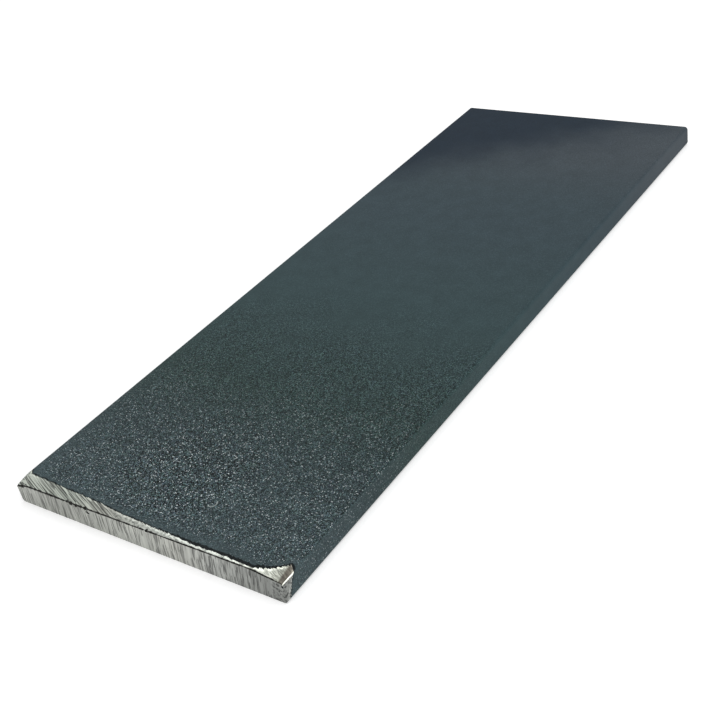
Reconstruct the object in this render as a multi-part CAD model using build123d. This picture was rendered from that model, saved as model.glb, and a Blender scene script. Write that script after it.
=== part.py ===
from build123d import *
import os

# A short cut length of hot-rolled mild steel flat bar. It is one piece of steel, lying on a broad face.
# X runs across the bar, Y along it and Z up. The origin is the centre of the underside.
# The near end, at -Y, was cut square and then dressed by hand against a grinding belt, which left
# five shallow flats on it. The far end, at +Y, is cut square with its sharp rim broken.
# Sizes are in millimetres.

# The stock as it is rolled, a standard section, and the length that was cut from it
BAR_WIDTH = 40
BAR_THICKNESS = 3
ROLLED_CORNER_RADIUS = 0.5
BAR_LENGTH = 110

# The long flat across the top of the near end: how far it runs back along the bar at each side,
# and how deep it is at the end face on the left, where the belt bit most
LONG_FLAT_LEFT_RUN = 1.9
LONG_FLAT_RIGHT_RUN = 0.25
LONG_FLAT_LEFT_DEPTH = 0.12

# The flat that takes down the top right corner: its reach across and along the bar, and its depth
RIGHT_FLAT_ACROSS = 4.85
RIGHT_FLAT_ALONG = 2.85
RIGHT_FLAT_DEPTH = 0.2

# The flat that takes down the top left corner, in the same terms
LEFT_FLAT_ACROSS = 2.4
LEFT_FLAT_ALONG = 2.9
LEFT_FLAT_DEPTH = 0.6

# The steeper flat on the right shoulder, between the one above and the narrow edge, in the same terms.
# Its length is what it would have on a sharp corner, and the rolled one ends it sooner.
SHOULDER_FLAT_ACROSS = 1.1
SHOULDER_FLAT_ALONG = 3.7
SHOULDER_FLAT_DEPTH = 0.54

# The flat on the right narrow edge: how far it runs back at the top and at the underside,
# and how much width it takes off at the top
EDGE_FLAT_TOP_RUN = 1.85
EDGE_FLAT_UNDERSIDE_RUN = 0.45
EDGE_FLAT_TOP_DEPTH = 0.15

# The broken rim of the far end
FAR_RIM_BREAK = 0.2

LEFT = -BAR_WIDTH / 2
RIGHT = BAR_WIDTH / 2
NEAR = -BAR_LENGTH / 2
FAR = BAR_LENGTH / 2
UNDERSIDE = 0
TOP = BAR_THICKNESS


def rolled_section():
    """The bar's cross-section, a flat rectangle with the soft corners that rolling leaves."""
    blank = Rectangle(BAR_WIDTH, BAR_THICKNESS, align=(Align.CENTER, Align.MIN))
    return fillet(blank.vertices(), ROLLED_CORNER_RADIUS)


def cut_length():
    """The section run out to the cut length, from the near end face to the far one."""
    near_face = Plane(origin=(0, NEAR, UNDERSIDE), x_dir=(-1, 0, 0), z_dir=(0, 1, 0))
    return extrude(near_face * rolled_section(), BAR_LENGTH)


def broken_far_rim(bar):
    """The far end's sharp rim taken off all the way round."""
    far_face = bar.faces().sort_by(Axis.Y)[-1]
    return chamfer(far_face.edges(), FAR_RIM_BREAK)


def ground(bar, first, second, deepest):
    """The bar ground down to the flat through three points, the last of them the deepest."""
    outward = (second - first).cross(deepest - first).normalized()
    if outward.dot(first - bar.center()) < 0:
        outward = -outward
    belt = Plane(origin=first, z_dir=outward)
    return split(bar, bisect_by=belt, keep=Keep.BOTTOM)


def dressed_near_end(bar):
    """The near end with its five hand-ground flats."""
    long_flat = (
        Vector(LEFT, NEAR + LONG_FLAT_LEFT_RUN, TOP),
        Vector(RIGHT, NEAR + LONG_FLAT_RIGHT_RUN, TOP),
        Vector(LEFT, NEAR, TOP - LONG_FLAT_LEFT_DEPTH),
    )
    right_flat = (
        Vector(RIGHT - RIGHT_FLAT_ACROSS, NEAR, TOP),
        Vector(RIGHT, NEAR + RIGHT_FLAT_ALONG, TOP),
        Vector(RIGHT, NEAR, TOP - RIGHT_FLAT_DEPTH),
    )
    left_flat = (
        Vector(LEFT + LEFT_FLAT_ACROSS, NEAR, TOP),
        Vector(LEFT, NEAR + LEFT_FLAT_ALONG, TOP),
        Vector(LEFT, NEAR, TOP - LEFT_FLAT_DEPTH),
    )
    shoulder_flat = (
        Vector(RIGHT - SHOULDER_FLAT_ACROSS, NEAR, TOP),
        Vector(RIGHT, NEAR + SHOULDER_FLAT_ALONG, TOP),
        Vector(RIGHT, NEAR, TOP - SHOULDER_FLAT_DEPTH),
    )
    edge_flat = (
        Vector(RIGHT, NEAR + EDGE_FLAT_TOP_RUN, TOP),
        Vector(RIGHT, NEAR + EDGE_FLAT_UNDERSIDE_RUN, UNDERSIDE),
        Vector(RIGHT - EDGE_FLAT_TOP_DEPTH, NEAR, TOP),
    )
    for flat in (long_flat, right_flat, left_flat, shoulder_flat, edge_flat):
        bar = ground(bar, *flat)
    return bar


def flat_bar():
    """The whole bar."""
    return dressed_near_end(broken_far_rim(cut_length()))


os.makedirs("parts", exist_ok=True)
export_step(flat_bar(), "parts/flat_bar.step")
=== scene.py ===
import bpy
import bmesh
import math
from mathutils import Matrix, Vector


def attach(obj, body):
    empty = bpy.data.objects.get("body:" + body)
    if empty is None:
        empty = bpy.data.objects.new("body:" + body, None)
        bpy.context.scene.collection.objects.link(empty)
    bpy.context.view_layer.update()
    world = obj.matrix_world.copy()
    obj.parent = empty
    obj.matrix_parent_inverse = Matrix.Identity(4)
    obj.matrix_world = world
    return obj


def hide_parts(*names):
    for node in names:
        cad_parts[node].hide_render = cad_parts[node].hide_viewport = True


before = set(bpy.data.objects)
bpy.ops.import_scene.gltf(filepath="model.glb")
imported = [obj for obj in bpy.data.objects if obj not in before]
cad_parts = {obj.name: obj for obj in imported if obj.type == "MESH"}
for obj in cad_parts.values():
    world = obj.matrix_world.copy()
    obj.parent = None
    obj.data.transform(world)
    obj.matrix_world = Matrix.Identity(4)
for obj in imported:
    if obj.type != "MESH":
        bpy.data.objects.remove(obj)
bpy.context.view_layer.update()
print("frame loaded")

mm = 0.001


def hexToLinear(code):
    # sRGB hex to the linear colour that sockets take
    steps = [int(code[i:i + 2], 16) / 255 for i in (1, 3, 5)]
    return tuple(c / 12.92 if c <= 0.04045 else ((c + 0.055) / 1.055) ** 2.4 for c in steps) + (1,)


# The bar, 40 x 3 mm flat. Everything about it is in mm, measured from its left edge, its near end and
# its underside, and onBar turns that into a place in the frame.
bar = {
    "width": 40.0,
    "thickness": 3.0,
    "length": 110.0,
    "rolledCorner": 0.5,    # soft corner that rolling leaves
    "cornerSteps": 8,
    "farBreak": 0.2,        # rim of the far end
    "fineStep": 0.2,        # spacing of the cuts that give the near end a fine mesh
    "fineReach": 3.2,       # how far back from the near end it is that fine
    "smoothUnder": 20,      # degrees: edges less sharp than this are shaded smooth
    "arrisSink": 0.035,     # the arris is knocked back by about this much
    "arrisUneven": 0.8,     # and its points stray by this share of it
    "chipDepth": 0.09,
    "chipDrop": 0.3,        # a chip goes down by this share of how deep it goes back
}
wide, high, long = bar["width"], bar["thickness"], bar["length"]

# each flat ground on the near end: three points on it, the first two on the rolled skin,
# and which way that skin faces (0 across, 2 up)
bar["flats"] = {
    "long": ((0, 1.9, high), (wide, 0.25, high), (0, 0, high - 0.12), 2),
    "right corner": ((wide - 4.85, 0, high), (wide, 2.85, high), (wide, 0, high - 0.6), 2),
    "left corner": ((2.4, 0, high), (0, 2.9, high), (0, 0, high - 0.6), 2),
    "shoulder": ((wide - 1.8, 0, high), (wide, 3.0, high), (wide, 0, high - 0.84), 2),
    "right edge": ((wide, 1.85, high), (wide, 0.45, 0), (wide - 0.4, 0, high), 0),
}

# the end leans back a little towards its top right corner: three points on the part that does
bar["endLean"] = ((8, 0, high), (wide, 0, 0), (wide, 0.26, high))

# chips in the arris: how far from the left, how far below the top, how big
bar["chips"] = ((0.9, 0.4, 0.32), (6.2, 0.15, 0.24), (8.6, 0.1, 0.32), (9.3, 0.2, 0.34), (10.2, 0.2, 0.3),
                (11.6, 0.15, 0.34), (11.9, 0.75, 0.26), (18.3, 0.15, 0.16), (21.1, 0.15, 0.3),
                (39.6, 0.95, 0.2), (39.75, 1.3, 0.15))

touching = 0.001        # mm: a point this near a face counts as on it
cutThreshold = 1e-7     # m


def flatPlane(points):
    # a point on the flat through three points, and its outward normal
    first, second, deepest = (Vector(p) for p in points)
    outward = (second - first).cross(deepest - first).normalized()
    if outward.dot(first - Vector((wide / 2, long / 2, high / 2))) < 0:
        outward = -outward
    return first, outward


planes = {name: flatPlane(points[:3]) for name, points in bar["flats"].items()}
planes["end"] = flatPlane(bar["endLean"])


def endFace(x, z):
    # how far back the near end lies at this place on it
    first, outward = planes["end"]
    return max(0, first.y - (outward.x * (x - first.x) + outward.z * (z - first.z)) / outward.y)


def onBar(x, y, z):
    return Vector((x - wide / 2, y - long / 2, z)) * mm


def offBar(co):
    return co / mm + Vector((wide / 2, long / 2, 0))


def selectEdges(mesh, test):
    bm = bmesh.from_edit_mesh(mesh)
    bm.select_mode = {"EDGE"}
    for edge in bm.edges:
        a, b = (offBar(v.co) for v in edge.verts)
        edge.select_set(test(a, b))
    bm.select_flush_mode()
    bmesh.update_edit_mesh(mesh)


def selectVerts(mesh, test):
    bpy.ops.mesh.select_mode(type="VERT")
    bm = bmesh.from_edit_mesh(mesh)
    for vert in bm.verts:
        vert.select_set(test(offBar(vert.co)))
    bm.select_flush_mode()
    bmesh.update_edit_mesh(mesh)
    return sum(v.select for v in bm.verts)


bpy.ops.object.select_all(action="DESELECT")
bpy.ops.mesh.primitive_cube_add(size=1, location=(0, 0, high / 2 * mm),
                                scale=(wide * mm, long * mm, high * mm))
barSteel = bpy.context.object
barSteel.name = barSteel.data.name = "flatBarSteel"
bpy.ops.object.transform_apply(location=True, rotation=True, scale=True)
bpy.ops.object.mode_set(mode="EDIT")
bpy.ops.mesh.select_mode(type="EDGE")

# the four rolled corners, then the broken rim of the far end
selectEdges(barSteel.data, lambda a, b: abs(a.y - b.y) > long / 2)
bpy.ops.mesh.bevel(offset=bar["rolledCorner"] * mm, segments=bar["cornerSteps"], profile=0.5)
selectEdges(barSteel.data, lambda a, b: min(a.y, b.y) > long - touching)
bpy.ops.mesh.bevel(offset=bar["farBreak"] * mm, segments=1)
print("section and far end made")

# each flat is one bisect: the steel outside it is cleared and the cut is filled
for name, (first, outward) in planes.items():
    bpy.ops.mesh.select_all(action="SELECT")
    bpy.ops.mesh.bisect(plane_co=onBar(*first), plane_no=outward, use_fill=True, clear_outer=True,
                        threshold=cutThreshold)
    if name != "end":
        bpy.ops.mesh.mark_sharp()
print("near end dressed")

# a fine mesh at the near end, so that its arris can be worn and chipped
step = bar["fineStep"]
slices = [((step * (n + 0.5), 0, 0), (1, 0, 0)) for n in range(round(wide / step))]
slices += [((0, step * n, 0), (0, 1, 0)) for n in range(1, round(bar["fineReach"] / step))]
slices += [((0, 0, step * (n + 0.5)), (0, 0, 1)) for n in range(round(high / step))]
for spot, normal in slices:
    bpy.ops.mesh.select_all(action="SELECT")
    bpy.ops.mesh.bisect(plane_co=onBar(*spot), plane_no=normal, threshold=cutThreshold)
topFlats = [planes[name] for name, points in bar["flats"].items() if points[3] == 2]


def onArris(co):
    below = min(outward.dot(first - co) for first, outward in topFlats)
    return co.y - endFace(co.x, co.z) < touching and below < touching


sink = bar["arrisSink"] * mm
worn = selectVerts(barSteel.data, onArris)
bpy.ops.transform.translate(value=(0, sink, -sink))
bpy.ops.transform.vertex_random(offset=sink * bar["arrisUneven"], uniform=1.0, normal=0.0, seed=3)
chips = [(Vector((x, endFace(x, high - drop), high - drop)), size) for x, drop, size in bar["chips"]]
deep = bar["chipDepth"] * mm
for centre, size in chips:
    worn += selectVerts(barSteel.data, lambda co: (co - centre).length < size)
    bpy.ops.transform.translate(value=(0, deep, -deep * bar["chipDrop"]))
bpy.ops.mesh.select_all(action="SELECT")
bpy.ops.mesh.normals_make_consistent(inside=False)
bpy.ops.object.mode_set(mode="OBJECT")
bpy.ops.object.shade_smooth_by_angle(angle=math.radians(bar["smoothUnder"]), keep_sharp_edges=True)
print("arris worn at", worn, "points,", len(barSteel.data.polygons), "faces in all")

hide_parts("flat_bar")
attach(barSteel, "root")


def addNode(tree, kind, settings=None, links=None):
    # one shader node with its settings and links; a link comes from a socket or from a node's first output
    node = tree.nodes.new("ShaderNode" + kind)
    for name, value in (settings or {}).items():
        if isinstance(name, str) and hasattr(node, name):
            setattr(node, name, value)
        else:
            node.inputs[name].default_value = value
    for name, source in (links or {}).items():
        socket = source.outputs[0] if isinstance(source, bpy.types.Node) else source
        tree.links.new(socket, node.inputs[name])
    return node


def newMaterial(name):
    material = bpy.data.materials.new(name)
    material.use_nodes = True
    material.node_tree.nodes.clear()
    return material, material.node_tree


def setRamp(node, stops, span):
    # stops are colours by how many mm they lie along the span
    ramp = node.color_ramp
    places = sorted(stops)
    ramp.elements[0].position, ramp.elements[0].color = places[0] / span, hexToLinear(stops[places[0]])
    ramp.elements[1].position, ramp.elements[1].color = places[-1] / span, hexToLinear(stops[places[-1]])
    for mark in places[1:-1]:
        ramp.elements.new(mark / span).color = hexToLinear(stops[mark])


# Hot-rolled mild steel. The rolling leaves mill scale, a thin blue-grey oxide skin, matt and gritty, so it
# looks dull and speckled. Where a belt has ground through it the steel is bright, with fine straight marks.
# Sizes and places are in mm. A pattern has its texture, the size of its features across, along and upward,
# how it is turned, in degrees, and its further settings. A range has what it is read from, two places there
# and its value at each. Real grit and belt marks are 0.02 to 0.06 mm wide, too fine to show, so they are
# drawn two to three times as coarse.
topTurn = (0, 0, -21)       # the way of the belt over the top flats
endTurn = (0, 5, 0)         # and over the end
level = (0, 0, 0)
steelLook = {
    # colours by how far from the left edge, over the top flats and over the end: the steel's own colour with
    # painted light, a painted sheen brightening the top flats towards the right and painted shade darkening
    # the end towards the right
    "top": {3: "#9ba098", 8: "#959b93", 14: "#92948d", 22: "#a6aaa4", 32: "#adb1ab", 37.8: "#acafa6",
            39.2: "#8b8d84"},
    "end": {3: "#a0a29c", 6: "#979993", 11: "#9d9f99", 20: "#a6a8a2", 25: "#a5a6a0", 30: "#9b9d99",
            39: "#797b78"},
    "shoulderShade": "#5b5851",            # painted shade: a darker strip on the right shoulder, where it reflects darker surroundings
    "rim": "#e6e8dc",               # painted highlight: a bright sliver along its outer side
    "darkArris": "#20201d",              # dark line along the arris
    "sawn": "#5c5d59",              # the far end, sawn long ago and gone dull
    "patterns": {
        "topScratch": ("TexVoronoi", (5, 0.11, 0.11), topTurn, {}),
        "topBand": ("TexNoise", (14, 0.45, 0.45), topTurn, {}),     # broader bands of scratches
        "endScratch": ("TexVoronoi", (0.13, 0.13, 1.8), endTurn, {}),
        "endBand": ("TexNoise", (0.5, 0.5, 14), endTurn, {}),
        "steelPit": ("TexVoronoi", (0.22, 0.22, 0.22), level, {}),
        "tooth": ("TexNoise", (0.7, 0.15, 0.4), topTurn, {"Detail": 3, "Roughness": 0.65}),
        "blob": ("TexNoise", (0.9, 0.9, 0.9), level, {"Detail": 4, "Roughness": 0.7}),
    },
    "ranges": {
        "onTop": ("facingUp", 0.6, 0.75, 0, 1),         # 1 on all that faces up
        "faintScratch": ("across", 34, 36.5, 0, 0.45),  # the scratches grow faint on the fan at the right
        "bandShare": ("across", 14, 24, 0.45, 0.2),     # how much the bands count on the top flats
        "pitted": ("across", 38, 38.6, 0, 1),
        "toothLength": ("across", 34, 38, 0.6, 0.75),
        "tornTone": ("across", 10, 20, 1.3, 1.8),       # the steel along the torn edge against the rest
        "shoulder": ("across", 39.05, 39.25, 0, 1),
    },
    # of the scratches and pits: the share that is darkest, the share after which all are brightest,
    # and these two against the steel's own colour
    "tones": {"topScratch": (0.05, 0.85, 0.2, 1.45),
              "endScratch": (0.05, 0.55, 0.38, 1.17),
              "steelPit": (0.05, 0.55, 0.38, 1.17)},
    "bandTone": (0.78, 1.18),       # the darkest and the brightest bands, against the same colour
    # the long flat's crumbled stretch: its middle, how far from there it is full and how far it reaches,
    # and how crumbled it is
    "crumbled": (25, 8, 11, 0.75),
    "onFlat": 0.063,                # a point this near a flat's plane lies on the flat
    # steps in the scale's edge: from and to across, and how much nearer to the end the scale comes
    "edgeSteps": ((13, 16, 0.2), (28.5, 31.5, -0.2), (36, 37.5, 0.22), (38, 39, -0.15)),
    "edgeBlur": 0.03,
    "bareShort": 0.075,             # the scale stops this short of both ends of the bar
    "endWeight": 8.0,               # and its edge is this much sharper there
    "stripEnd": (39.2, 2.6),        # the shoulder's bare strip stops at a line through this place,
    "stripWay": (0.66, 0.75),       # at right angles to this way
    "brink": (-0.32, -0.1),         # off the scale's edge: from here to there the steel takes the torn tone
    "rimEdge": (0.09, 0.05),        # off the outer side: the sliver is gone here and full there
    "rimSteps": ((0.0, 1.4, 0.05), (1.8, 2.7, -0.1)),   # from and to along, and how much wider it gets
    "darkArrisWidth": (0.07, 0.19),
    "darkArrisSpan": (0.4, 0.75),        # the stretch of the blobs' noise that its width follows
    "darkArrisSteps": ((15, 12, 0.04), (36, 38, -0.03)),     # from and to across, and how much wider it gets
    "chipFill": 0.85,               # the share of a chip's size that the dark line fills
    "ragged": 0.5,                  # how far the edges of the filled chips and of the scale's lip wander
    "roughness": 0.4,
}
scaleLook = {
    # the scale's own colour by how far from the near end, with a painted sheen: brightest at the near end,
    # darkest about a quarter along
    "skinAndSheenByLength": {4: "#445154", 16: "#3b484a", 26: "#354544", 48: "#38494c", 72: "#3a484e", 104: "#3d484e"},
    "shade": "#1b2834",             # painted shade: the smoother corner at the far left darkened, a dark reflection
    "shadeFrom": (71, 94),          # along the left edge: where it starts and where it is full
    "shadeSlope": 0.75,             # it starts this much further along for each mm across
    "paleSheen": "#454d53",              # painted sheen: the far right made paler
    "paleSheenFrom": (78, 104),
    "glint": "#f0fafc",
    "scratch": "#98a19f",           # a small crescent scratch
    "crescent": (25.3, 6.6, 0.58, 0.06),    # its middle, its radius and half its width
    "crescentCut": (0.6, 0.1),      # it lies right of a line that leans this much, this far past its middle
    "patterns": {
        "patch": ("TexNoise", (9, 9, 9), level, {}),    # grit and shade come and go in patches
        "grain": ("TexVoronoi", (0.09, 0.09, 0.09), level, {}),
        "mottle": ("TexNoise", (2.6, 2.6, 2.6), level, {"Detail": 3}),
        "tint": ("TexVoronoi", (0.2, 0.2, 0.2), level, {}),
        "speck": ("TexVoronoi", (0.125, 0.125, 0.125), level, {}),  # the darkest are pits, the palest glint
    },
    "ranges": {
        "edgeShare": ("across", 15, 32, 1.0, 0.42),     # the smooth strip by the ground edge widens
        "edgeMore": ("across", 34, 37, 0, 0.5),         # and narrows again
        "sideLip": ("facingUp", 0.75, 0.5, 0, 0.6),     # the lip is fainter on the narrow edges
        "sideLitTone": ("facingUp", 0.75, 0.5, 1.0, 1.12), # painted light: the narrow edges a little paler
    },
    "wander": {"shade": 14.0, "grit": 24.0, "coarse": 16.0},    # how far the patches shift each of these
    "gritFades": (28, 50, 0.15),    # along: where it starts to fade, where it is faint, and what is left
    # where grit thins: from, to, and what is left of it, off the ground edge, off the left side,
    # and by how far the skin faces up
    "gritThins": {"edge": (0.1, 1.4, 0.25), "left": (0.3, 4.0, 0.4), "side": (0.5, 0.8, 0.4)},
    "coarse": (18, 9),              # the middle of the coarsest grit
    "coarseReach": (3, 11, 0.68),   # off it: where grit gets finer, where it is fine, and how fine
    "grainCurve": 2.6,              # the higher, the rarer the bright grains
    "grainTone": (0.0, 4.2),        # the darkest and the brightest grains, against the skin's own colour
    "mottleTone": (0.93, 1.07),
    "hueStray": 0.1,
    "speckSize": (0.58, 0.44),      # off its middle, in cells: where a speck is gone and where it is full
    "pits": (0.55, 0.45),           # of the specks' tones: over the first no pit, under the second all are
    "glints": (0.92, 0.97),         # under the first none glints, over the second all
    "glintFades": (12, 32),         # along
    "lip": (0.08, 0.22),            # the dark band along the ground edge, on the scale's side: full to here and gone there
    "lipTone": 0.12,
    "lipSteps": ((22, 28, 0.28), (36, 38.5, -0.2)),     # from and to across, and how much wider it gets
    "roughness": 0.6,
    "specular": 0.08,
}
noiseSpan = (0.3, 0.7)      # noise hardly leaves this stretch
noiseMiddle = 0.5
relief = (0.5, 0.03)        # strength, and depth in mm

hotRolledSteel, tree = newMaterial("hotRolledSteelGroundAtOneEnd")
coords = addNode(tree, "TexCoord")
place = addNode(tree, "VectorMath",
                {"operation": "MULTIPLY_ADD", 1: [1 / mm] * 3, 2: (wide / 2, long / 2, 0)},
                {0: coords.outputs["Object"]})
across, along = addNode(tree, "SeparateXYZ", {}, {0: place}).outputs[:2]
facingUp = addNode(tree, "SeparateXYZ", {}, {0: coords.outputs["Normal"]}).outputs[2]

patterns = {}
for name, (kind, size, turn, settings) in {**steelLook["patterns"], **scaleLook["patterns"]}.items():
    spread = addNode(tree, "Mapping",
                     {"vector_type": "TEXTURE", "Scale": size, "Rotation": [math.radians(a) for a in turn]},
                     {"Vector": place})
    patterns[name] = addNode(tree, kind, {"Scale": 1.0, **settings}, {"Vector": spread})

ranges = {}
sources = {"across": across, "facingUp": facingUp}
for name, (source, start, full, first, last) in {**steelLook["ranges"], **scaleLook["ranges"]}.items():
    ranges[name] = addNode(tree, "MapRange",
                           {"From Min": start, "From Max": full, "To Min": first, "To Max": last},
                           {"Value": sources[source]})
onTop = ranges["onTop"]

# belt marks: fine scratches, each of its own tone, in broader bands
tones = {}
for name, (start, full, dark, bright) in steelLook["tones"].items():
    tone = addNode(tree, "SeparateColor", {}, {0: patterns[name].outputs["Color"]})
    tones[name] = addNode(tree, "MapRange",
                          {"From Min": start, "From Max": full, "To Min": dark, "To Max": bright},
                          {"Value": tone})
topScratch = addNode(tree, "Mix", {"data_type": "FLOAT", 3: 1.0},
                     {0: ranges["faintScratch"], 2: tones["topScratch"]})
scratch = addNode(tree, "Mix", {"data_type": "FLOAT"}, {0: onTop, 2: tones["endScratch"], 3: topScratch})
topBand = addNode(tree, "Mix", {"data_type": "FLOAT", 2: noiseMiddle},
                  {0: ranges["bandShare"], 3: patterns["topBand"]})
band = addNode(tree, "Mix", {"data_type": "FLOAT"}, {0: onTop, 2: patterns["endBand"], 3: topBand})

# beside the right corner the end is pitted instead, and so is the crumbled stretch of the long flat
pitted = addNode(tree, "Math", {"operation": "SUBTRACT", "use_clamp": True}, {0: ranges["pitted"], 1: onTop})
middle, full, start, most = steelLook["crumbled"]
crumbled = addNode(tree, "Math", {"operation": "SUBTRACT", 1: middle}, {0: across})
crumbled = addNode(tree, "Math", {"operation": "ABSOLUTE"}, {0: crumbled})
crumbled = addNode(tree, "MapRange", {"From Min": start, "From Max": full, "To Max": most},
                   {"Value": crumbled})
crumbled = addNode(tree, "Math", {"operation": "MULTIPLY"}, {0: crumbled, 1: onTop})
pitted = addNode(tree, "Math", {"operation": "MAXIMUM"}, {0: pitted, 1: crumbled})
scratch = addNode(tree, "Mix", {"data_type": "FLOAT"}, {0: pitted, 2: scratch, 3: tones["steelPit"]})

# how far a point is from the scale's edge, mm: over zero there is scale, under it bare steel.
# It is measured in the skin, and where the belt passed over the point, by how deep that point lies.
endWeight = steelLook["endWeight"]
short = endWeight * steelLook["bareShort"]
farEdge = addNode(tree, "Math", {"operation": "MULTIPLY_ADD", 1: -endWeight, 2: endWeight * long - short},
                  {0: along})
edge = farEdge
depths = {}
for name, (first, outward) in planes.items():
    depth = addNode(tree, "VectorMath", {"operation": "DOT_PRODUCT", 1: -outward}, {0: place})
    depths[name] = addNode(tree, "Math", {"operation": "ADD", 1: outward.dot(first)},
                           {0: depth.outputs["Value"]})
    if name == "end":
        continue
    inSkin = Vector(outward)
    inSkin[bar["flats"][name][3]] = 0
    steepness = inSkin.length
    inSkin.normalize()
    onFlat = addNode(tree, "VectorMath", {"operation": "DOT_PRODUCT", 1: -inSkin}, {0: place})
    onFlat = addNode(tree, "Math", {"operation": "ADD", 1: inSkin.dot(first)}, {0: onFlat.outputs["Value"]})
    underFlat = addNode(tree, "Math", {"operation": "DIVIDE", 1: steepness}, {0: depths[name]})
    missed = addNode(tree, "Math", {"operation": "GREATER_THAN", 1: steelLook["onFlat"]}, {0: depths[name]})
    flatEdge = addNode(tree, "Mix", {"data_type": "FLOAT"}, {0: missed, 2: onFlat, 3: underFlat})
    edge = addNode(tree, "Math", {"operation": "MINIMUM"}, {0: edge, 1: flatEdge})

# the edge is torn into small teeth along the belt's way, longer at the right corner, and has a few steps
teeth = addNode(tree, "Math", {"operation": "SUBTRACT", 1: noiseMiddle}, {0: patterns["tooth"]})
edge = addNode(tree, "Math", {"operation": "MULTIPLY_ADD"}, {0: teeth, 1: ranges["toothLength"], 2: edge})
for start, full, more in steelLook["edgeSteps"]:
    further = addNode(tree, "MapRange", {"From Min": start, "From Max": full, "To Max": more},
                      {"Value": across})
    edge = addNode(tree, "Math", {"operation": "ADD"}, {0: edge, 1: further})

# the shoulder's strip has scale again behind it, and the two ends of the bar have none
way = Vector(steelLook["stripWay"]).to_3d()
beyond = addNode(tree, "VectorMath", {"operation": "DOT_PRODUCT", 1: way}, {0: place})
beyond = addNode(tree, "Math", {"operation": "SUBTRACT", 1: way.dot(Vector(steelLook["stripEnd"]).to_3d())},
                 {0: beyond.outputs["Value"]})
edge = addNode(tree, "Math", {"operation": "MAXIMUM"}, {0: edge, 1: beyond})
fromEnd = addNode(tree, "Math", {"operation": "MINIMUM"}, {0: depths["end"], 1: along})
nearEdge = addNode(tree, "Math", {"operation": "MULTIPLY_ADD", 1: endWeight, 2: -short}, {0: fromEnd})
for limit in (nearEdge, farEdge):
    edge = addNode(tree, "Math", {"operation": "MINIMUM"}, {0: edge, 1: limit})
blur = steelLook["edgeBlur"]
bare = addNode(tree, "MapRange", {"interpolation_type": "SMOOTHSTEP", "From Min": blur, "From Max": -blur},
               {"Value": edge})

# the arris between the end and the flats gets a dark line, which fills the chips too
arris = depths["long"]
for name in ("right corner", "left corner"):
    arris = addNode(tree, "Math", {"operation": "MINIMUM"}, {0: arris, 1: depths[name]})
arris = addNode(tree, "Math", {"operation": "MAXIMUM"}, {0: arris, 1: fromEnd})
start, full = steelLook["darkArrisSpan"]
thin, thick = steelLook["darkArrisWidth"]
darkArris = addNode(tree, "MapRange", {"From Min": start, "From Max": full, "To Min": thin, "To Max": thick},
               {"Value": patterns["blob"]})
for start, full, more in steelLook["darkArrisSteps"]:
    wider = addNode(tree, "MapRange", {"From Min": start, "From Max": full, "To Max": more},
                    {"Value": across})
    darkArris = addNode(tree, "Math", {"operation": "ADD"}, {0: darkArris, 1: wider})
darkArris = addNode(tree, "Math", {"operation": "SUBTRACT"}, {0: darkArris, 1: arris})
ragged = addNode(tree, "Math",
                 {"operation": "MULTIPLY_ADD", 1: steelLook["ragged"], 2: -steelLook["ragged"] / 2},
                 {0: patterns["blob"]})
for centre, size in chips:
    chip = addNode(tree, "VectorMath", {"operation": "DISTANCE", 1: centre}, {0: place})
    chip = addNode(tree, "Math", {"operation": "SUBTRACT", 0: size * steelLook["chipFill"]},
                   {1: chip.outputs["Value"]})
    chip = addNode(tree, "Math", {"operation": "ADD"}, {0: chip, 1: ragged})
    darkArris = addNode(tree, "Math", {"operation": "MAXIMUM"}, {0: darkArris, 1: chip})
darkArris = addNode(tree, "MapRange", {"interpolation_type": "SMOOTHSTEP", "From Min": -blur, "From Max": blur},
               {"Value": darkArris})

# bare steel: its colour drifts across the bar, with a painted sheen brightening the top flats and painted
# shade darkening the end towards the right; the right shoulder has a painted darker strip, and the far end
# is dull
ratio = addNode(tree, "Math", {"operation": "DIVIDE", 1: wide}, {0: across})
topSteelWithSheen = addNode(tree, "ValToRGB", {}, {0: ratio})
setRamp(topSteelWithSheen, steelLook["top"], wide)
endSteelWithShade = addNode(tree, "ValToRGB", {}, {0: ratio})
setRamp(endSteelWithShade, steelLook["end"], wide)
steel = addNode(tree, "Mix", {"data_type": "RGBA"}, {0: onTop, 6: endSteelWithShade, 7: topSteelWithSheen}).outputs[2]
onShoulder = addNode(tree, "Math", {"operation": "MULTIPLY"}, {0: ranges["shoulder"], 1: onTop})
atFarEnd = addNode(tree, "Math", {"operation": "GREATER_THAN", 1: long / 2}, {0: along})
# painted shade on the shoulder strip, a painted highlight along its outer side further on
for factor, name in ((onShoulder, "shoulderShade"), (atFarEnd, "sawn")):
    steel = addNode(tree, "Mix", {"data_type": "RGBA", 7: hexToLinear(steelLook[name])},
                    {0: factor, 6: steel}).outputs[2]

# the bands and scratches in it, and the brighter brink along the torn edge
start, full = noiseSpan
low, most = steelLook["bandTone"]
bandTone = addNode(tree, "MapRange", {"From Min": start, "From Max": full, "To Min": low, "To Max": most},
                   {"Value": band})
start, full = steelLook["brink"]
brink = addNode(tree, "MapRange", {"From Min": start, "From Max": full, "To Min": 1.0},
                {"Value": edge, "To Max": ranges["tornTone"]})
for factor in (scratch, bandTone, brink):
    steel = addNode(tree, "VectorMath", {"operation": "SCALE"}, {0: steel, "Scale": factor})

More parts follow.
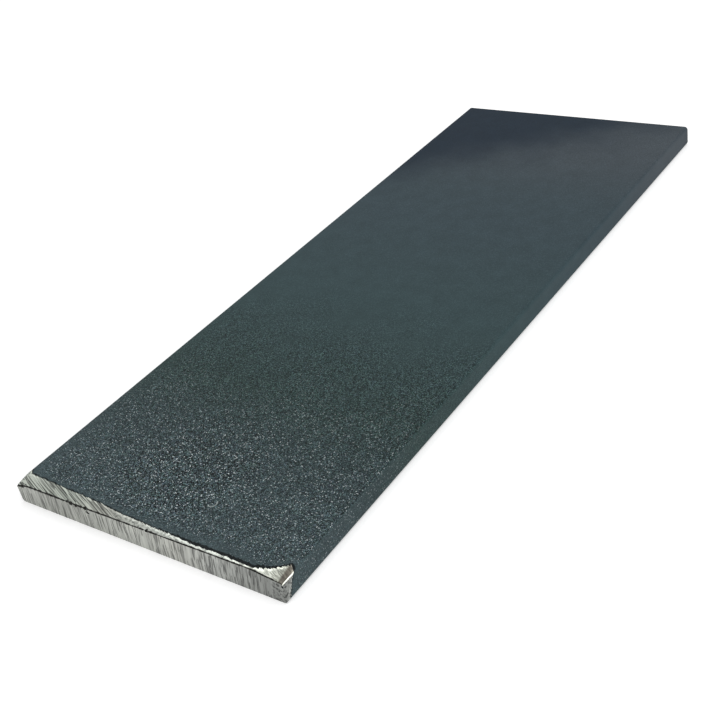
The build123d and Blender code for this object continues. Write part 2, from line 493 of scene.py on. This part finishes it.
# painted highlight: the right shoulder has a bright sliver along its outer side
rim = addNode(tree, "Math", {"operation": "SUBTRACT", 0: wide}, {1: across})
rim = addNode(tree, "Math", {"operation": "MINIMUM"}, {0: rim, 1: depths["right edge"]})
for start, full, more in steelLook["rimSteps"]:
    wider = addNode(tree, "MapRange", {"From Min": start, "From Max": full, "To Max": more},
                    {"Value": along})
    rim = addNode(tree, "Math", {"operation": "SUBTRACT"}, {0: rim, 1: wider})
start, full = steelLook["rimEdge"]
rim = addNode(tree, "MapRange", {"From Min": start, "From Max": full}, {"Value": rim})
rim = addNode(tree, "Math", {"operation": "MULTIPLY"}, {0: rim, 1: onShoulder})
steel = addNode(tree, "Mix", {"data_type": "RGBA", 7: hexToLinear(steelLook["rim"])},
                {0: rim, 6: steel}).outputs[2]

# mill scale: its colour drifts along the bar with a painted sheen; painted shade darkens the far left and a
# painted sheen makes the far right paler
ratio = addNode(tree, "Math", {"operation": "DIVIDE", 1: long}, {0: along})
skin = addNode(tree, "ValToRGB", {}, {"Fac": ratio})
setRamp(skin, scaleLook["skinAndSheenByLength"], long)
wander = scaleLook["wander"]["shade"]
start, full = scaleLook["shadeFrom"]
shade = addNode(tree, "Math", {"operation": "MULTIPLY_ADD", 1: -scaleLook["shadeSlope"]},
                {0: across, 2: along})
shade = addNode(tree, "Math", {"operation": "MULTIPLY_ADD", 1: wander}, {0: patterns["patch"], 2: shade})
shade = addNode(tree, "MapRange", {"interpolation_type": "SMOOTHSTEP", "From Min": start + wander / 2,
                                   "From Max": full + wander / 2}, {"Value": shade})
start, full = scaleLook["paleSheenFrom"]
paleSheen = addNode(tree, "MapRange", {"interpolation_type": "SMOOTHSTEP", "From Min": start, "From Max": full},
               {"Value": along})
for factor, name in ((paleSheen, "paleSheen"), (shade, "shade")):
    skin = addNode(tree, "Mix", {"data_type": "RGBA", 7: hexToLinear(scaleLook[name])},
                   {0: factor, 6: skin}).outputs[2]

# its grit lies in patches and fades along the bar
wander = scaleLook["wander"]["grit"]
drift = addNode(tree, "Math", {"operation": "MULTIPLY_ADD", 1: wander, 2: -wander / 2},
                {0: patterns["patch"]})
drift = addNode(tree, "Math", {"operation": "ADD"}, {0: drift, 1: along})
start, full, left = scaleLook["gritFades"]
grit = addNode(tree, "MapRange", {"interpolation_type": "SMOOTHSTEP", "From Min": start, "From Max": full,
                                  "To Min": 1.0, "To Max": left}, {"Value": drift})

# it thins out beside the ground edge and the left side, and on the narrow edges
smoothEdge = addNode(tree, "Math", {"operation": "ADD"}, {0: ranges["edgeShare"], 1: ranges["edgeMore"]})
smoothEdge = addNode(tree, "Math", {"operation": "MULTIPLY"}, {0: smoothEdge, 1: edge})
for source, name in ((smoothEdge, "edge"), (across, "left"), (facingUp, "side")):
    start, full, least = scaleLook["gritThins"][name]
    thin = addNode(tree, "MapRange", {"interpolation_type": "SMOOTHSTEP", "From Min": start,
                                      "From Max": full, "To Min": least, "To Max": 1.0}, {"Value": source})
    grit = addNode(tree, "Math", {"operation": "MULTIPLY"}, {0: grit, 1: thin})

# and it is finer away from one place
wander = scaleLook["wander"]["coarse"]
start, full, fine = scaleLook["coarseReach"]
coarse = addNode(tree, "VectorMath", {"operation": "DISTANCE", 1: (*scaleLook["coarse"], high)}, {0: place})
coarse = addNode(tree, "Math", {"operation": "MULTIPLY_ADD", 1: wander},
                 {0: patterns["patch"], 2: coarse.outputs["Value"]})
coarse = addNode(tree, "MapRange", {"interpolation_type": "SMOOTHSTEP", "From Min": start + wander / 2,
                                    "From Max": full + wander / 2, "To Min": 1.0, "To Max": fine},
                 {"Value": coarse})
grit = addNode(tree, "Math", {"operation": "MULTIPLY"}, {0: grit, 1: coarse})

# the grains' tones, a faint mottling, the dark lip along the ground edge, and painted light that makes the
# narrow edges paler
grain = addNode(tree, "SeparateColor", {}, {0: patterns["grain"].outputs["Color"]})
tone = addNode(tree, "Math", {"operation": "POWER", 1: scaleLook["grainCurve"]}, {0: grain})
low, most = scaleLook["grainTone"]
tone = addNode(tree, "MapRange", {"To Min": low, "To Max": most}, {"Value": tone})
tone = addNode(tree, "Mix", {"data_type": "FLOAT", 2: 1.0}, {0: grit, 3: tone})
start, full = noiseSpan
low, most = scaleLook["mottleTone"]
mottle = addNode(tree, "MapRange", {"From Min": start, "From Max": full, "To Min": low, "To Max": most},
                 {"Value": patterns["mottle"]})
lip = addNode(tree, "Math", {"operation": "SUBTRACT"}, {0: edge, 1: ragged})
for start, full, more in scaleLook["lipSteps"]:
    wider = addNode(tree, "MapRange", {"From Min": start, "From Max": full, "To Max": more},
                    {"Value": across})
    lip = addNode(tree, "Math", {"operation": "SUBTRACT"}, {0: lip, 1: wider})
start, full = scaleLook["lip"]
lip = addNode(tree, "MapRange", {"interpolation_type": "SMOOTHSTEP", "From Min": start, "From Max": full,
                                 "To Min": scaleLook["lipTone"], "To Max": 1.0}, {"Value": lip})
lip = addNode(tree, "Math", {"operation": "MAXIMUM"}, {0: lip, 1: ranges["sideLip"]})
for factor in (tone, mottle, lip, ranges["sideLitTone"]):
    skin = addNode(tree, "VectorMath", {"operation": "SCALE"}, {0: skin, "Scale": factor})

# the hue strays a little from place to place where there is grit
stray = scaleLook["hueStray"]
tint = addNode(tree, "VectorMath", {"operation": "MULTIPLY_ADD", 1: [stray * 2] * 3, 2: [1 - stray] * 3},
               {0: patterns["tint"].outputs["Color"]})
tint = addNode(tree, "Mix", {"data_type": "RGBA", 6: (1, 1, 1, 1)}, {0: grit, 7: tint}).outputs[2]
skin = addNode(tree, "VectorMath", {"operation": "MULTIPLY"}, {0: skin, 1: tint})

# dark pits, and glints that fade along the bar
speckTone = addNode(tree, "SeparateColor", {}, {0: patterns["speck"].outputs["Color"]})
specks = {}
for name, source in (("speckSize", patterns["speck"]), ("pits", speckTone), ("glints", speckTone)):
    start, full = scaleLook[name]
    specks[name] = addNode(tree, "MapRange", {"From Min": start, "From Max": full}, {"Value": source})
speck = addNode(tree, "Math", {"operation": "MULTIPLY"}, {0: specks["speckSize"], 1: grit})
pit = addNode(tree, "Math", {"operation": "MULTIPLY"}, {0: specks["pits"], 1: speck})
pit = addNode(tree, "Math", {"operation": "SUBTRACT", 0: 1.0}, {1: pit})
skin = addNode(tree, "VectorMath", {"operation": "SCALE"}, {0: skin, "Scale": pit})
start, full = scaleLook["glintFades"]
fade = addNode(tree, "MapRange", {"From Min": start, "From Max": full, "To Min": 1.0, "To Max": 0.0},
               {"Value": drift})
glint = specks["glints"]
for factor in (speck, fade, lip):
    glint = addNode(tree, "Math", {"operation": "MULTIPLY"}, {0: glint, 1: factor})

# one small crescent scratch
x, y, radius, half = scaleLook["crescent"]
leaning, past = scaleLook["crescentCut"]
ring = addNode(tree, "VectorMath", {"operation": "DISTANCE", 1: (x, y, high)}, {0: place})
ring = addNode(tree, "Math", {"operation": "COMPARE", 1: radius, 2: half}, {0: ring.outputs["Value"]})
rightHalf = addNode(tree, "Math", {"operation": "MULTIPLY_ADD", 1: -leaning}, {0: along, 2: across})
rightHalf = addNode(tree, "Math", {"operation": "GREATER_THAN", 1: x - leaning * y + past}, {0: rightHalf})
crescent = addNode(tree, "Math", {"operation": "MULTIPLY"}, {0: ring, 1: rightHalf})
for factor, name in ((glint, "glint"), (crescent, "scratch")):
    skin = addNode(tree, "Mix", {"data_type": "RGBA", 7: hexToLinear(scaleLook[name])},
                   {0: factor, 6: skin}).outputs[2]

# scale, steel and the dark arris line together
colour = addNode(tree, "Mix", {"data_type": "RGBA"}, {0: bare, 6: skin, 7: steel}).outputs[2]
colour = addNode(tree, "Mix", {"data_type": "RGBA", 7: hexToLinear(steelLook["darkArris"])},
                 {0: darkArris, 6: colour}).outputs[2]
metallic = addNode(tree, "Math", {"operation": "SUBTRACT", "use_clamp": True}, {0: bare, 1: darkArris})
roughness = addNode(tree, "MapRange", {"To Min": scaleLook["roughness"], "To Max": steelLook["roughness"]},
                    {"Value": bare})
scaleHeight = addNode(tree, "Math", {"operation": "MULTIPLY"}, {0: grain, 1: grit})
height = addNode(tree, "Mix", {"data_type": "FLOAT"}, {0: bare, 2: scaleHeight, 3: band})
strength, depth = relief
bump = addNode(tree, "Bump", {"Strength": strength, "Distance": depth * mm}, {"Height": height})
surface = addNode(tree, "BsdfPrincipled", {"Specular IOR Level": scaleLook["specular"]},
                  {"Base Color": colour, "Metallic": metallic, "Roughness": roughness, "Normal": bump})
addNode(tree, "OutputMaterial", {}, {"Surface": surface})
barSteel.data.materials.append(hotRolledSteel)
print("steel and mill scale made")


stageLook = {
    "floor": "#e6e6e6",
    "floorSize": 1.0,       # m
    "floorLift": 0.45,      # added where it is seen, itself or in a reflection, so that it reads white
    "sky": "#ffffff",
    "skyLight": 0.48,       # its light on the object; where it is seen it is white
    "lamps": {"overhead": ((0.1, 0.2, 1.1), 1.0, 5.0),      # place in m, size in m, watts
              "right": ((1.0, -0.1, 0.4), 0.5, 2.5)},
}


def seenPart(tree):
    # 1 where the camera sees this, itself or in a reflection or through glass, 0 where it lights the object
    lightPath = addNode(tree, "LightPath")
    seen = lightPath.outputs["Is Camera Ray"]
    for ray in ("Is Glossy Ray", "Is Transmission Ray"):
        seen = addNode(tree, "Math", {"operation": "MAXIMUM"}, {0: seen, 1: lightPath.outputs[ray]})
    return seen


# the floor is matt paper, with no gloss of its own, so that all it shows is the bar's soft shadow
bpy.ops.mesh.primitive_plane_add(size=stageLook["floorSize"], location=(0, 0, 0))
floor = bpy.context.object
floor.name = "paleFloor"
paleFloor, tree = newMaterial("matPaper")
matt = addNode(tree, "BsdfDiffuse", {"Color": hexToLinear(stageLook["floor"])})
lift = addNode(tree, "Math", {"operation": "MULTIPLY", 1: stageLook["floorLift"]}, {0: seenPart(tree)})
lift = addNode(tree, "Emission", {}, {"Strength": lift})
both = addNode(tree, "AddShader", {}, {0: matt, 1: lift})
addNode(tree, "OutputMaterial", {}, {"Surface": both})
floor.data.materials.append(paleFloor)

world = bpy.data.worlds.new("studio")
bpy.context.scene.world = world
world.use_nodes = True
tree = world.node_tree
tree.nodes.clear()
strength = addNode(tree, "MapRange", {"To Min": stageLook["skyLight"], "To Max": 1.0},
                   {"Value": seenPart(tree)})
sky = addNode(tree, "Background", {"Color": hexToLinear(stageLook["sky"])}, {"Strength": strength})
addNode(tree, "OutputWorld", {}, {"Surface": sky})

for name, (spot, size, power) in stageLook["lamps"].items():
    bpy.ops.object.light_add(type="AREA", location=spot)
    lamp = bpy.context.object
    lamp.name = name
    lamp.rotation_euler = (-Vector(spot)).to_track_quat("-Z", "Y").to_euler()
    lamp.data.size = size
    lamp.data.energy = power

# the camera looks down along the bar over its near end
cameraLook = {
    "place": (0.083332, -0.111882, 0.082589),   # m
    "right": (0.82069, 0.54691, -0.16539),
    "up": (-0.19501, 0.5402, 0.81863),
    "lens": 57.704,         # mm
    "sensor": 36,           # mm
    "clipStart": 0.01,      # m
}
camera = bpy.data.objects.new("camera", bpy.data.cameras.new("camera"))
bpy.context.collection.objects.link(camera)
right, up = Vector(cameraLook["right"]), Vector(cameraLook["up"])
camera.matrix_world = Matrix((right, up, right.cross(up))).transposed().to_4x4()
camera.location = cameraLook["place"]
camera.data.lens = cameraLook["lens"]
camera.data.sensor_width = cameraLook["sensor"]
camera.data.clip_start = cameraLook["clipStart"]
bpy.context.scene.camera = camera
bpy.context.scene.view_settings.view_transform = "Standard"
print("floor, light and camera set")
